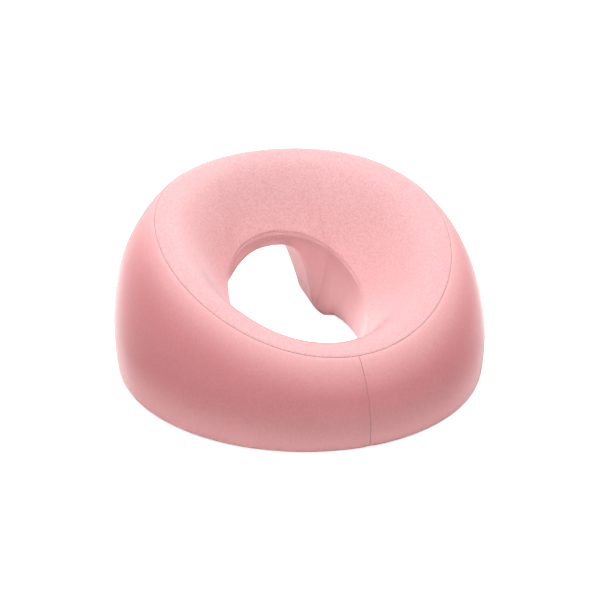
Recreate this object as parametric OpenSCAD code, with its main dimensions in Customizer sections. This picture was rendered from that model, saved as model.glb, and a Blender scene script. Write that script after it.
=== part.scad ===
// Ring shaped nap cushion: a moulded foam ring in a sewn cover, with a curved zip in the underside.
// The low front faces -Y, the high back faces +Y, and the cushion rests on the plane z = 0.
// Lengths are in millimetres and angles in degrees.

/* [Body] */
// Width across the bulge of the side wall
body_width = 292; // [280:1:308]
// Depth from the front bulge to the back bulge
body_depth = 304; // [292:1:320]
// Height of the crest at the front
front_height = 68.5; // [60:0.5:78]
// Height of the crest at each side
side_height = 124; // [116:1:132]
// Height of the crest at the back
back_height = 144.5; // [136:0.5:156]
// How far the edge of the base lies inside the bulge
base_inset = 2; // [1:0.5:8]
// Width of the rolled edge between the base and a wall
edge_roll = 6; // [4:0.5:9]

/* [Side wall] */
// How far the wall is drawn in just above the base
low_draw = 1; // [0:0.5:3]
// How far the wall is drawn in above the bulge
high_draw = 4.5; // [2:0.5:8]
// How far the shoulder stands outside the rim
shoulder_out = 14; // [8:0.5:18]
// How far the shoulder lies below the crest
shoulder_drop = 16; // [12:0.5:20]

/* [Rim] */
// Distance of the rim from the bulge at the front
rim_in_front = 26; // [20:0.5:32]
// Distance of the rim from the bulge at each side
rim_in_side = 32.5; // [26:0.5:38]
// Distance of the rim from the bulge at the back
rim_in_back = 45; // [38:0.5:52]
// How far the crest rises above the level of the rim
crest_rise = 13; // [9:0.5:17]

/* [Dish and face hole] */
// Fullness of the dish below the crest
dish_rise = 23; // [16:0.5:26]
// Fullness of the roll above the lip of the face hole
lip_roll = 3.5; // [1:0.5:6]
// Width of the face hole at its lip
lip_width = 108; // [96:1:116]
// Length of the face hole at its lip
lip_length = 120; // [108:1:130]
// How far the face hole lies towards the back at its lip
lip_shift = 4.5; // [0:0.5:8]
// Height of the lip at the front
lip_front = 21.5; // [18:0.5:28]
// Height of the lip at each side
lip_side = 54.5; // [46:0.5:60]
// Height of the lip at the back
lip_back = 87; // [84:0.5:94]
// Height of the upright wall under the lip
lip_wall = 6.5; // [5:0.5:9]
// Width of the face hole at the base
well_width = 117; // [112:1:130]
// Distance of the widest place of the hole in the base behind the middle
well_shift = 41; // [34:0.5:46]
// Length of the hole in the base from its widest place to the front
well_front = 96; // [88:1:100]
// Length of the hole in the base from its widest place to the back, where the arch cuts it off
well_back = 84; // [78:1:90]

/* [Arm arch] */
// Width of the arch at its inner mouth
arch_width = 91; // [80:1:96]
// Width of the arch at its outer mouth
mouth_width = 98; // [84:1:104]
// Height of the arch at its inner mouth
arch_inner = 75.5; // [68:0.5:76]
// Height of the arch at its outer mouth
arch_height = 75.5; // [66:0.5:80]
// Fullness of the outline of the arch, where 2 makes a parabola
arch_power = 2.9; // [2:0.1:3.2]
// How far the inner mouth stands behind the middle at its feet
arch_start = 85.5; // [80:0.5:90]
// How far the inner mouth leans forward for each millimetre of height
arch_lean = 0.3; // [0.2:0.01:0.36]
// How far each mouth of the arch flares out
arch_flare = 5; // [3:0.5:7]
// Radius of the rolled foot of the arch
foot_radius = 4; // [3.5:0.5:6]

/* [Cover] */
// Thickness of the cover fabric with its backing
cover_t = 3; // [2.6:0.1:3.6]
// Clearance between the cover and the foam
foam_clearance = 0.3; // [0.2:0.05:0.5]
// Thickness of the sewing thread
thread_t = 0.6; // [0.5:0.05:0.7]
// Clearance on each side of a thread in its seam
thread_clearance = 0.25; // [0.2:0.05:0.3]
// Depth of a thread below the face of the cover
thread_depth = 0.3; // [0.2:0.05:0.5]

/* [Zip] */
// Distance of the curved zip from the bulge of the side wall
zip_inset = 41; // [37:0.5:45]
// Angle from the front to each end of the opening for the zip
slot_angle = 82; // [76:0.5:86]
// Width of the opening in the base panel
slot_width = 14; // [12:0.5:16]
// Length of the opening past each end stop, where the pull can lie
slot_margin = 8; // [7:0.5:10]
// Width that each tape is sewn under the base panel
tape_lap = 5; // [3:0.5:7]
// Length of each end stop along the zip
stop_length = 2.5; // [2:0.5:4]
// Thickness of a zip tape
tape_t = 0.6; // [0.4:0.05:0.7]
// Diameter of one row of the zip coil
coil_d = 1.8; // [1.5:0.05:1.9]
// Gap between the two rows of the coil
coil_gap = 0.9; // [0.8:0.05:1.2]
// Length of the slider along the zip
slider_length = 9; // [7:0.5:11]
// Width of the slider
slider_width = 9.6; // [8.6:0.1:10.4]
// Thickness of each plate of the slider
plate_t = 0.7; // [0.5:0.05:0.8]
// Length of the pull from its pin to its tip
pull_length = 18; // [12:0.5:22]
// Width of the pull
pull_width = 4.6; // [3.8:0.1:5.4]
// Thickness of the pull
pull_t = 0.9; // [0.6:0.05:1]
// Diameter of the pin of the pull
pin_d = 0.8; // [0.6:0.05:0.9]
// Wall of the eye of the pull round its pin
eye_wall = 0.35; // [0.3:0.05:0.4]
// Length of the eye of the pull along its pin
eye_length = 3.8; // [3:0.1:4.6]
// Width of each arm that holds the pin
arm_width = 0.9; // [0.7:0.05:1.1]
// Clearance of the pin in the eye of the pull
pin_clearance = 0.08; // [0.05:0.01:0.1]
// Running clearance of the slider along the zip
zip_clearance = 0.15; // [0.1:0.05:0.2]

/* [Hidden] */

// Stations round the ring: from the front to a foot of the arch, over the arch, and in each rolled foot
front_steps = 19;
arch_steps = 14;
foot_steps = 2;
station_count = 2 * front_steps + arch_steps;
foot_right = front_steps;
foot_left = front_steps + arch_steps;

// Rows of the section: up the side band, over the top panel, down the well and across the base.
// The rows of the side band gather towards its rolled edge, which ends at the edge row.
side_rows = 7;
edge_row = 2;
edge_gather = 1.4;
top_rows = 7;
well_rows = 4;
base_rows = 2;
row_rim = side_rows;
row_lip = side_rows + top_rows;
row_base_in = row_lip + well_rows;
row_foot = row_base_in + 1;
row_count = row_base_in + base_rows;

// Places of the two upper seams and of the end along the section's spline
control_count = 15;
spline_end = control_count - 3;
spline_rim = 4.93;
spline_lip = 9;

// Share that each outermost control of a span has in the middle of that span
outer_weight = 1 / 48;

// Shares of the wall's height at its controls, and of the way between the rim, the lip and the base
low_share = 0.09;
bulge_share = 0.38;
high_share = 0.72;
crest_share = 0.27;
dish_share = 0.53;
lip_roll_share = 0.91;
well_share = 0.8;

// Share of half the lip's width at which the foot stations of the arch cross the lip
lip_reach = 0.8;

// Turns of the search for a height on the wall, and longest share of a step in at a corner
halvings = 20;
corner_most = 1.22;

// Gaps by which an end is held back from the thread that crosses it, and overrun of a cut
clear_gaps = 5;
cut_over = 1;

// Faces of long arcs, of small rounds and of the coil
arc_faces = 180;
round_faces = 32;
coil_faces = 8;

half_width = body_width / 2;
depth_extra = (body_depth - body_width) / 2;
base_half = half_width - base_inset;
zip_radius = half_width - zip_inset;
arch_half = arch_width / 2;
mouth_half = mouth_width / 2;
seam_gap = thread_t + 2 * thread_clearance;

cover_pink = [0.93, 0.68, 0.69];
lining_pink = [0.85, 0.6, 0.62];
thread_pink = [0.7, 0.45, 0.47];
foam_cream = [0.95, 0.92, 0.82];
tape_pink = [0.82, 0.52, 0.55];
coil_pink = [0.75, 0.44, 0.48];
zip_metal = [0.72, 0.73, 0.75];

function blend(a, b, t) = a + (b - a) * t;
function unit(v) = v / norm(v);
function raised(v, height) = v + [0, 0, height];

// Control that brings a cubic spline through a point, between its two neighbours
function through(p, before, after) = (6 * p - before - after) / 4;

// Value at a place round the ring, from its values at the front, the sides and the back
function wave(front, side, back, s) =
    side + (back - front) / 2 * s + ((back + front) / 2 - side) * s * s;

// Outline of the arch: a rolled foot, a full parabola and the other foot
function foot_turn(k) = 90 * min(k / foot_steps, 1);
function arch_turn(k) = 180 * (k - foot_steps) / (arch_steps - 2 * foot_steps);

function arch_x(k, half) =
    k > arch_steps / 2 ? -arch_x(arch_steps - k, half) :
    k < foot_steps ? half + foot_radius * (1 - sin(foot_turn(k))) :
    half * pow(cos(arch_turn(k)), 2 / arch_power);

function arch_z(k, height) =
    k > arch_steps / 2 ? arch_z(arch_steps - k, height) :
    k < foot_steps ? foot_radius * (1 - cos(foot_turn(k))) :
    foot_radius + (height - foot_radius) * pow(sin(arch_turn(k)), 2);

// A station: the angles on the outer wall, on the lip and on the hole, and the step over the arch or -1
foot_lip = acos(lip_reach);
foot_outer = acos((mouth_half + arch_flare + foot_radius) / base_half);
foot_inner = acos((arch_half + arch_flare + foot_radius) / (well_width / 2));

function front_station(t) =
    let (angle = blend(-90, foot_outer, t))
    [angle, angle - (foot_outer - foot_lip) * pow(t, 3), angle - (foot_outer - foot_inner) * pow(t, 3), -1];

function mirrored(s) = [180 - s[0], 180 - s[1], 180 - s[2], s[3]];

function arch_station(k) =
    let (x = arch_x(k, mouth_half + arch_flare), foot_x = arch_x(0, mouth_half + arch_flare))
    [acos(x / base_half), acos(lip_reach * x / foot_x), foot_inner, k];

stations = concat(
    [for (i = [0 : front_steps - 1]) front_station(i / front_steps)],
    [for (k = [0 : arch_steps]) arch_station(k)],
    [for (i = [front_steps - 1 : -1 : 1]) mirrored(front_station(i / front_steps))]);

// Points of the outer wall and of the hole in the base
function wall_point(angle, r, z) = [r * cos(angle), (r + depth_extra) * sin(angle), z];

function well_point(angle, out, z) =
    let (length = angle < 0 || angle > 180 ? well_front : well_back)
    [(well_width / 2 + out) * cos(angle), well_shift + (length + out) * sin(angle), z];

// Distance of the rim from the middle of the cushion
function rim_radius(s) = half_width - wave(rim_in_front, rim_in_side, rim_in_back, sin(s[0]));

// A point of the inner mouth of the arch, or beside it by a flare. The mouth leans forward as it climbs.
function inner_mouth(s, flare) =
    let (turn = foot_turn(min(s[3], arch_steps - s[3])),
         y = blend(well_point(s[2], 0, 0)[1], arch_start, sin(turn)),
         z = arch_z(s[3], arch_inner))
    [arch_x(s[3], arch_half + flare), y - arch_lean * z, z];

// Inner edge of the base, on the floor or in the arch, or a point outside it by a flare
function inner_edge(s, flare) = s[3] < 0 ? well_point(s[2], 0, 0) : inner_mouth(s, flare);

// Inner seam of the base
function inner_seam(s) = s[3] < 0 ? well_point(s[2], edge_roll, 0) : inner_mouth(s, 0) + [0, edge_roll, 0];

// Controls of a station's section, from the outer seam of the base over the crest to the inner seam
function controls(s) =
    let (
        place = sin(s[0]),
        crest = wave(front_height, side_height, back_height, place),
        rim_z = crest - crest_rise,
        rim = wall_point(s[0], rim_radius(s), rim_z),
        lip_place = sin(s[1]),
        lip_z = wave(lip_front, lip_side, lip_back, lip_place),
        lip = [lip_width / 2 * cos(s[1]), lip_shift + lip_length / 2 * lip_place, lip_z],
        dish = raised(blend(rim, lip, dish_share), dish_rise),
        top = crest + (shoulder_drop + crest - dish[2]) * outer_weight / (1 - outer_weight),
        over_lip = raised(blend(rim, lip, lip_roll_share), lip_roll),
        under_lip = raised(lip, -lip_wall),
        bulge = through(half_width, half_width - low_draw, half_width - high_draw),
        inside = blend(rim, lip, crest_share))
    [wall_point(s[0], base_half - edge_roll, 0),
     wall_point(s[0], base_half, 0),
     wall_point(s[0], half_width - low_draw, rim_z * low_share),
     wall_point(s[0], bulge, rim_z * bulge_share),
     wall_point(s[0], half_width - high_draw, rim_z * high_share),
     wall_point(s[0], rim_radius(s) + shoulder_out, top - shoulder_drop),
     [rim[0], rim[1], top],
     [inside[0], inside[1], top],
     dish,
     over_lip,
     through(lip, over_lip, under_lip),
     under_lip,
     blend(under_lip, inner_edge(s, arch_flare), well_share),
     inner_edge(s, 0),
     inner_seam(s)];

// Weights of a clamped cubic spline
function knot(i) = min(max(i - 3, 0), spline_end);

function weight(i, degree, u) =
    degree == 0 ?
        ((knot(i) <= u && u < knot(i + 1)) || (u == spline_end && i == control_count - 1) ? 1 : 0) :
        let (before = knot(i + degree) - knot(i), after = knot(i + degree + 1) - knot(i + 1))
        (before == 0 ? 0 : (u - knot(i)) / before * weight(i, degree - 1, u)) +
        (after == 0 ? 0 : (knot(i + degree + 1) - u) / after * weight(i + 1, degree - 1, u));

function weights(u) = [for (i = [0 : control_count - 1]) weight(i, 3, u)];

// Place along the spline where the wall reaches a height, found by halving
function place_at(c, z, low, high, turns) =
    let (middle = (low + high) / 2, below = (weights(middle) * c)[2] < z)
    turns == 0 ? middle :
    place_at(c, z, below ? middle : low, below ? high : middle, turns - 1);

function side_share(j) = pow(j / side_rows, edge_gather);

side_places = [for (j = [0 : side_rows - 1]) spline_rim * side_share(j)];
side_weights = [for (u = side_places) weights(u)];
upper_places = concat(
    [for (j = [0 : top_rows - 1]) blend(spline_rim, spline_lip, j / top_rows)],
    [for (j = [0 : well_rows]) blend(spline_lip, spline_end, j / well_rows)]);
upper_weights = [for (u = upper_places) weights(u)];

// Rows of the side band over the arch: a rolled edge out of the arch, then the wall above it
function arch_side(s, c) =
    let (
        edge = side_places[edge_row],
        edge_z = (side_weights[edge_row] * c)[2],
        mouth_z = arch_z(s[3], arch_height + arch_flare),
        start = mouth_z <= edge_z ? edge : place_at(c, mouth_z, edge, spline_rim, halvings),
        mouth = weights(start) * c,
        corner = [arch_x(s[3], mouth_half), mouth[1], arch_z(s[3], arch_height)],
        seam = corner - [0, edge_roll, 0])
    concat([seam, (seam + 2 * corner + mouth) / 4],
           [for (j = [edge_row : side_rows - 1])
               weights(blend(start, spline_rim,
                             (side_share(j) - side_share(edge_row)) / (1 - side_share(edge_row)))) * c]);

// The outer surface of the whole cover, as stations by rows
surface_grid = [for (s = stations)
    let (
        c = controls(s),
        side = s[3] < 0 ? [for (w = side_weights) w * c] : arch_side(s, c),
        upper = [for (w = upper_weights) w * c],
        inner = upper[len(upper) - 1])
    concat(side, upper, [for (j = [1 : base_rows - 1]) blend(inner, side[0], j / base_rows)])];

function station(i) = (i + station_count) % station_count;
function row(j) = (j + row_count) % row_count;
function at(i, j) = surface_grid[station(i)][row(j)];
function along_ring(i, j) = unit(unit(at(i + 1, j) - at(i, j)) + unit(at(i, j) - at(i - 1, j)));
function along_section(i, j) = unit(unit(at(i, j + 1) - at(i, j)) + unit(at(i, j) - at(i, j - 1)));

// Way out of the face beyond a point of the grid, and the four such ways that meet at a point
face_normals = [for (i = [0 : station_count - 1])
    [for (j = [0 : row_count - 1]) unit(cross(at(i + 1, j + 1) - at(i, j), at(i, j + 1) - at(i + 1, j)))]];

function meeting_normals(i, j) =
    [for (a = [i - 1, i]) for (b = [j - 1, j]) face_normals[station(a)][row(b)]];

surface_normals = [for (i = [0 : station_count - 1])
    [for (j = [0 : row_count - 1]) let (n = meeting_normals(i, j)) unit(n[0] + n[1] + n[2] + n[3])]];

function outward(i, j) = surface_normals[station(i)][row(j)];

// Share by which a step inwards at a corner is lengthened, to keep its distance from all four faces
corner_steps = [for (i = [0 : station_count - 1])
    [for (j = [0 : row_count - 1])
        1 / min([for (n = meeting_normals(i, j)) max(n * outward(i, j), 1 / corner_most)])]];

function below(i, j, depth) =
    at(i, j) - outward(i, j) * depth * corner_steps[station(i)][row(j)];

// Step from a point of a seam along a panel, half a seam's gap when measured straight across the seam
function seam_step(from, towards, across) =
    let (way = unit(towards - from))
    way * seam_gap / 2 * min(1 / abs(way * across), corner_most);

// A point of a panel that spans two rows, at a depth below its face
function panel_point(i, j, first, last, depth) =
    below(i, j, depth) +
    (j == first ? seam_step(at(i, j), at(i, j + 1), along_section(i, j)) :
     j == last ? seam_step(at(i, j), at(i, j - 1), along_section(i, j)) : [0, 0, 0]);

function panel_section(i, first, last) = concat(
    [for (j = [first : last]) panel_point(i, j, first, last, 0)],
    [for (j = [last : -1 : first]) panel_point(i, j, first, last, cover_t)]);

// Step along a station towards the next row, to clear the thread of a seam that crosses there
function clear_step(i, from, towards) =
    let (way = at(i, towards) - at(i, from))
    unit(way) * min(clear_gaps * seam_gap, norm(way) / 2);

// A section at the end of a panel, cut through along the way in at one of its rows, with its corners cut off
function end_section(i, first, last, cut) =
    let (face = [for (j = [first : last])
             j == first ? at(i, j) + clear_step(i, j, j + 1) :
             j == last ? at(i, j) + clear_step(i, j, j - 1) : at(i, j)],
         inwards = below(i, cut, cover_t) - at(i, cut))
    concat(face, [for (k = [last - first : -1 : 0]) face[k] + inwards]);

function moved(section, step) = [for (p = section) p + step];

// Square section of a thread, from a point on the seam, the way out and the way across the seam
function thread_section(p, out, across) =
    let (face = p - out * thread_depth, back = face - out * thread_t, side = across * thread_t / 2)
    [face - side, face + side, back + side, back - side];

function seam_section(i, j) = thread_section(at(i, j), outward(i, j), along_section(i, j));

// Section of a thread up one station, turned as at another row
function cross_section(i, j, turned) = thread_section(at(i, j), outward(i, turned), -along_ring(i, turned));

// A row of sections skinned into one solid, closed into a ring or capped at both ends.
// Its faces are split along one diagonal, or along the other, which the inner side of a panel has.
module loft(sections, closed, other = false) {
    n = len(sections);
    m = len(sections[0]);
    last = (n - 1) * m;
    sides = [for (i = [0 : closed ? n - 1 : n - 2]) for (j = [0 : m - 1])
        let (a = i * m, b = (i + 1) % n * m, k = (j + 1) % m)
        each other ? [[a + j, a + k, b + j], [a + k, b + k, b + j]] :
                     [[a + j, a + k, b + k], [a + j, b + k, b + j]]];
    caps = closed ? [] : [for (j = [0 : m / 2 - 2])
        let (a = j, b = j + 1, c = m - 2 - j, d = m - 1 - j)
        each [[a, d, c], [a, c, b], [last + a, last + b, last + c], [last + a, last + c, last + d]]];
    polyhedron([for (s = sections) each s], concat(sides, caps));
}

// A thread that closes on itself along one row of the cover
module ring_thread(j) {
    color(thread_pink)
        loft([for (i = [0 : station_count - 1]) seam_section(i, j)], true);
}

// A short thread up one station, held back from the seams at its two ends
module cross_thread(i, first, last) {
    count = last - first;
    sections = [for (j = [first : last]) cross_section(i, j, min(max(j, first + 1), last - 1))];
    color(thread_pink)
        loft(concat([moved(sections[0], clear_step(i, first, first + 1))],
                    [for (k = [1 : count - 1]) sections[k]],
                    [moved(sections[count], clear_step(i, last, last - 1))]), false);
}

// Levels and angles of the zip, whose tapes lie on the inner face of the base panel
tape_z = cover_t;
coil_z = tape_z + tape_t / 2;
coil_offset = (coil_gap + coil_d) / 2;
coil_reach = coil_gap / 2 + coil_d;
channel_half = slot_width / 2 + tape_lap + foam_clearance;
plate_z = coil_d / 2 + zip_clearance;
zip_front = 270;

function arc_angle(length) = length / zip_radius * 180 / PI;

stop_angle = arc_angle(stop_length);
gap_angle = arc_angle(zip_clearance);
lap_angle = arc_angle(tape_lap);
channel_angle = arc_angle(tape_lap + 2 * foam_clearance);
slider_half_angle = arc_angle(slider_length / 2);
margin_angle = arc_angle(slot_margin);
closed_end = zip_front - slot_angle + margin_angle;
open_end = zip_front + slot_angle - margin_angle;
slider_angle = closed_end + stop_angle + 2 * gap_angle + slider_half_angle;

// Pin and eye of the pull, beyond the leading end of the slider, and the tab that lies back under it
bore_d = pin_d + 2 * pin_clearance;
eye_d = bore_d + 2 * eye_wall;
pin_z = coil_z - plate_z - eye_d / 2;
pin_x = slider_length / 2 + eye_d / 2 + zip_clearance;
tab_low = -eye_d / 2;
tip_x = pull_width / 2 - pull_length;

// A flat band round the zip's arc, between two radii, two levels and two angles
module arc_band(inner, outer, low, high, from, to) {
    rotate([0, 0, from])
        rotate_extrude(angle = to - from, $fn = arc_faces)
            translate([inner, low])
                square([outer - inner, high - low]);
}

module foam_core() {
    depth = cover_t + foam_clearance;
    color(foam_cream)
        difference() {
            loft([for (i = [0 : station_count - 1])
                [for (j = [0 : row_count - 1]) below(i, j, depth)]], true, true);
            arc_band(zip_radius - channel_half, zip_radius + channel_half, 0,
                     coil_z + plate_z + plate_t + foam_clearance,
                     zip_front - slot_angle - channel_angle, zip_front + slot_angle + channel_angle);
        }
}

module top_panel() {
    color(cover_pink)
        loft([for (i = [0 : station_count - 1]) panel_section(i, row_rim, row_lip)], true);
}

// The band runs once round the cushion, and its two ends meet at the front
module side_band() {
    half_gap = [seam_gap / 2, 0, 0];
    front = panel_section(0, 0, row_rim);
    color(cover_pink)
        loft(concat([moved(front, half_gap)],
                    [for (i = [1 : station_count - 1]) panel_section(i, 0, row_rim)],
                    [moved(front, -half_gap)]), false);
}

module well_lining() {
    color(lining_pink)
        loft([for (i = [0 : station_count - 1]) panel_section(i, row_lip, row_base_in)], true);
}

// Half a seam at a foot of the arch, towards the station that follows over the arch
function foot_step(i, next) = seam_step(at(i, row_foot), at(next, row_foot), along_ring(i, row_foot));

// The lining of the arch is held back from the base panel at each foot
module arch_lining() {
    right = foot_step(foot_right, foot_right + 1);
    left = foot_step(foot_left, foot_left - 1);
    color(lining_pink)
        loft(concat([moved(end_section(foot_right, row_base_in, row_count, row_foot), right)],
                    [for (i = [foot_right + 1 : foot_left - 1]) panel_section(i, row_base_in, row_count)],
                    [moved(end_section(foot_left, row_base_in, row_count, row_foot), left)]), false);
}

// Corners of the base, anticlockwise: along the outer seam from the left foot to the right, and back inside
base_corners = concat(
    [for (i = [foot_left : station_count + foot_right]) [station(i), 0]],
    [for (i = [station_count + foot_right : -1 : foot_left]) [station(i), row_base_in]]);

function base_point(k) =
    let (c = base_corners[(k + len(base_corners)) % len(base_corners)], p = at(c[0], c[1]))
    [p[0], p[1]];

// Way into the base from the edge that follows a corner
function edge_inwards(k) = let (way = unit(base_point(k + 1) - base_point(k))) [-way[1], way[0]];

// A corner drawn half a seam inside both its edges, and further where the thread leans over the panel
function base_corner(k) =
    let (c = base_corners[k], before = edge_inwards(k - 1), after = edge_inwards(k),
         inwards = (before + after) / (1 + before * after),
         out = outward(c[0], c[1]),
         lean = max(-out[0] * inwards[0] - out[1] * inwards[1], 0) * (thread_depth + thread_t))
    base_point(k) + inwards * (seam_gap / 2 + lean);

module base_panel() {
    color(cover_pink)
        difference() {
            linear_extrude(cover_t)
                polygon([for (k = [0 : len(base_corners) - 1]) base_corner(k)]);
            arc_band(zip_radius - slot_width / 2, zip_radius + slot_width / 2, -cut_over,
                     cover_t + cut_over, zip_front - slot_angle, zip_front + slot_angle);
        }
}

module rim_thread() {
    ring_thread(row_rim);
}

module lip_thread() {
    ring_thread(row_lip);
}

module front_join_thread() {
    cross_thread(0, 0, row_rim);
}

module base_outer_thread() {
    ring_thread(0);
}

module base_inner_thread() {
    ring_thread(row_base_in);
}

module arch_foot_thread_right() {
    cross_thread(foot_right, row_base_in, row_count);
}

module arch_foot_thread_left() {
    cross_thread(foot_left, row_base_in, row_count);
}

// A tape lies from the coil to its lap under the base panel
module zip_tape(inner, outer) {
    color(tape_pink)
        arc_band(inner, outer, tape_z, tape_z + tape_t,
                 zip_front - slot_angle - lap_angle, zip_front + slot_angle + lap_angle);
}

module zip_tape_inner() {
    zip_tape(zip_radius - slot_width / 2 - tape_lap, zip_radius - coil_reach - zip_clearance);
}

module zip_tape_outer() {
    zip_tape(zip_radius + coil_reach + zip_clearance, zip_radius + slot_width / 2 + tape_lap);
}

// One row of the coil, between the two end stops
module zip_coil(radius) {
    from = closed_end + stop_angle + gap_angle;
    to = open_end - stop_angle - gap_angle;
    color(coil_pink)
        rotate([0, 0, from])
            rotate_extrude(angle = to - from, $fn = arc_faces)
                translate([radius, coil_z])
                    circle(d = coil_d, $fn = coil_faces);
}

module zip_coil_inner() {
    zip_coil(zip_radius - coil_offset);
}

module zip_coil_outer() {
    zip_coil(zip_radius + coil_offset);
}

// A stop fills the space between the tapes at one end of the coil
module zip_stop(from) {
    color(zip_metal)
        arc_band(zip_radius - coil_reach, zip_radius + coil_reach, coil_z - coil_d / 2, coil_z + coil_d / 2,
                 from, from + stop_angle);
}

module zip_stop_closed() {
    zip_stop(closed_end);
}

module zip_stop_open() {
    zip_stop(open_end - stop_angle);
}

// Places a shape drawn along X at the middle of the slider, with Y towards the centre of the arc
module at_slider() {
    rotate([0, 0, slider_angle])
        translate([zip_radius, 0, 0])
            rotate([0, 0, 90])
                children();
}

// Two plates over the coil, joined by a web between its rows, with two arms that hold the pin
module zip_slider() {
    from = slider_angle - slider_half_angle;
    to = slider_angle + slider_half_angle;
    inner = zip_radius - slider_width / 2;
    outer = zip_radius + slider_width / 2;
    web_half = coil_gap / 2 - zip_clearance;
    flange_low = coil_z - plate_z;
    flange_high = coil_z + plate_z;
    arm_place = slider_width / 2 - arm_width;
    color(zip_metal)
        union() {
            arc_band(inner, outer, flange_low - plate_t, flange_low, from, to);
            arc_band(inner, outer, flange_high, flange_high + plate_t, from, to);
            arc_band(zip_radius - web_half, zip_radius + web_half, flange_low - plate_t / 2,
                     flange_high + plate_t / 2, from, to);
            for (side = [-1, 1])
                at_slider()
                    translate([0, side * arm_place - arm_width / 2, pin_z - eye_d / 2])
                        cube([pin_x + eye_d / 2, arm_width, eye_d - plate_t / 2]);
            at_slider()
                translate([pin_x, 0, pin_z])
                    rotate([90, 0, 0])
                        cylinder(d = pin_d, h = 2 * arm_place, center = true, $fn = round_faces);
        }
}

// A flat tab with a rounded tip, on an eye that turns on the slider's pin
module zip_pull() {
    color(zip_metal)
        at_slider()
            translate([pin_x, 0, pin_z])
                difference() {
                    union() {
                        rotate([90, 0, 0])
                            cylinder(d = eye_d, h = eye_length, center = true, $fn = round_faces);
                        translate([-eye_d, -eye_length / 2, tab_low])
                            cube([eye_d, eye_length, pull_t]);
                        translate([tip_x, -pull_width / 2, tab_low])
                            cube([-tip_x - eye_d + zip_clearance, pull_width, pull_t]);
                        translate([tip_x, 0, tab_low])
                            cylinder(d = pull_width, h = pull_t, $fn = round_faces);
                    }
                    rotate([90, 0, 0])
                        cylinder(d = bore_d, h = slider_width, center = true, $fn = round_faces);
                    translate([tip_x, 0, tab_low - pull_t / 2])
                        cylinder(d = pull_width / 2, h = 2 * pull_t, $fn = round_faces);
                }
}

foam_core();
top_panel();
side_band();
well_lining();
arch_lining();
base_panel();
rim_thread();
lip_thread();
front_join_thread();
base_outer_thread();
base_inner_thread();
arch_foot_thread_right();
arch_foot_thread_left();
zip_tape_inner();
zip_tape_outer();
zip_coil_inner();
zip_coil_outer();
zip_stop_closed();
zip_stop_open();
zip_slider();
zip_pull();
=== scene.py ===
"""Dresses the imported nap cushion: a knit cover sewn over a foam ring, with a curved zip in the underside."""

import logging
import math
from dataclasses import dataclass, field
from enum import Enum
from typing import Callable, Iterable

import bmesh
import bpy
import numpy as np
from mathutils import Euler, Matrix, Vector


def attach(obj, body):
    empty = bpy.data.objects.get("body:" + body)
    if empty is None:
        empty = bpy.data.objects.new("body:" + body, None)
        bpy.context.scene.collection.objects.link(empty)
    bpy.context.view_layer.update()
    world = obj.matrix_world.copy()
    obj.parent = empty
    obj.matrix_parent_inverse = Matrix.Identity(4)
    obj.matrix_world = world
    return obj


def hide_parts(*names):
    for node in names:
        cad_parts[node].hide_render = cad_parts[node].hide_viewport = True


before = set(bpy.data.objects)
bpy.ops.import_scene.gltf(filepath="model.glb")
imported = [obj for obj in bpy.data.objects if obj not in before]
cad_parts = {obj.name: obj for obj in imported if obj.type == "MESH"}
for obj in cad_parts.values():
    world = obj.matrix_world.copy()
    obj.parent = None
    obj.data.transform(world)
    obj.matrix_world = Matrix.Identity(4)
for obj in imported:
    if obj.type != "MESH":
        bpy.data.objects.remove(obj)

MM = 0.001
MERGE = 1e-7
TINY = 1e-12
UP = np.array([0.0, 0.0, 1.0])
BODY = "cushion"
# Name of the mesh value of how far the cloth faces up, which steers painted light in the knit.
PAINTED_LIGHT_FACING = "facing"
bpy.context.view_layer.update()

Colour = tuple[float, float, float]
Place = tuple[float, float, float]
Span = tuple[float, float]
Socket = bpy.types.NodeSocket
Part = Callable[["Section", np.ndarray], np.ndarray]

logging.basicConfig(level=logging.INFO, format="%(name)s: %(message)s")
log = logging.getLogger("nap_cushion")


class Slot(Enum):
    """Names of material slots; no piece in this script is given one."""

    COVER = "cover"
    LINING = "lining"
    THREAD = "thread"
    FOAM = "foam"
    COIL = "zip_coil"


def blend(a: np.ndarray | float, b: np.ndarray | float, t: np.ndarray | float) -> np.ndarray | float:
    """Returns the value, point or points a share t of the way from a to b."""
    return a + (b - a) * t


def ease(t: float) -> float:
    """Returns t on a smooth step that is flat at 0 and at 1."""
    t = min(max(t, 0.0), 1.0)
    return t * t * (3.0 - 2.0 * t)


def unit(v: np.ndarray) -> np.ndarray:
    """Returns vectors of length 1 along the last axis."""
    length = np.linalg.norm(v, axis=-1, keepdims=True)
    return v / np.maximum(length, TINY)


def over_span(value: np.ndarray, span: np.ndarray) -> np.ndarray:
    """Returns a value over a span, or 0 where the span is empty."""
    return np.where(span > 0, value / np.where(span > 0, span, 1.0), 0.0)


@dataclass(frozen=True)
class SectionSpline:
    """Clamped cubic spline with unit knots, on which every section of the cushion lies."""

    controls: int = 15
    degree: int = 3
    end_gap: float = 1e-9

    @property
    def end(self) -> int:
        """Place of the last point."""
        return self.controls - self.degree

    def weights(self, places: np.ndarray) -> np.ndarray:
        """Weights of the controls.

        Args:
            places: places along the spline, from 0 to its end.

        Returns:
            One row of weights for each place.
        """
        count = self.controls + self.degree + 1
        knots = np.clip(np.arange(count) - self.degree, 0, self.end).astype(float)
        u = np.clip(np.asarray(places, float), 0.0, self.end - self.end_gap)[:, None]
        w = ((knots[:-1] <= u) & (u < knots[1:])).astype(float)
        for degree in range(1, self.degree + 1):
            starts, ends = knots[:-1 - degree], knots[1 + degree:]
            up = over_span(u - starts, knots[degree:-1] - starts)
            down = over_span(ends - u, ends - knots[1:-degree])
            w = up * w[:, :-1] + down * w[:, 1:]
        return w


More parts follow.
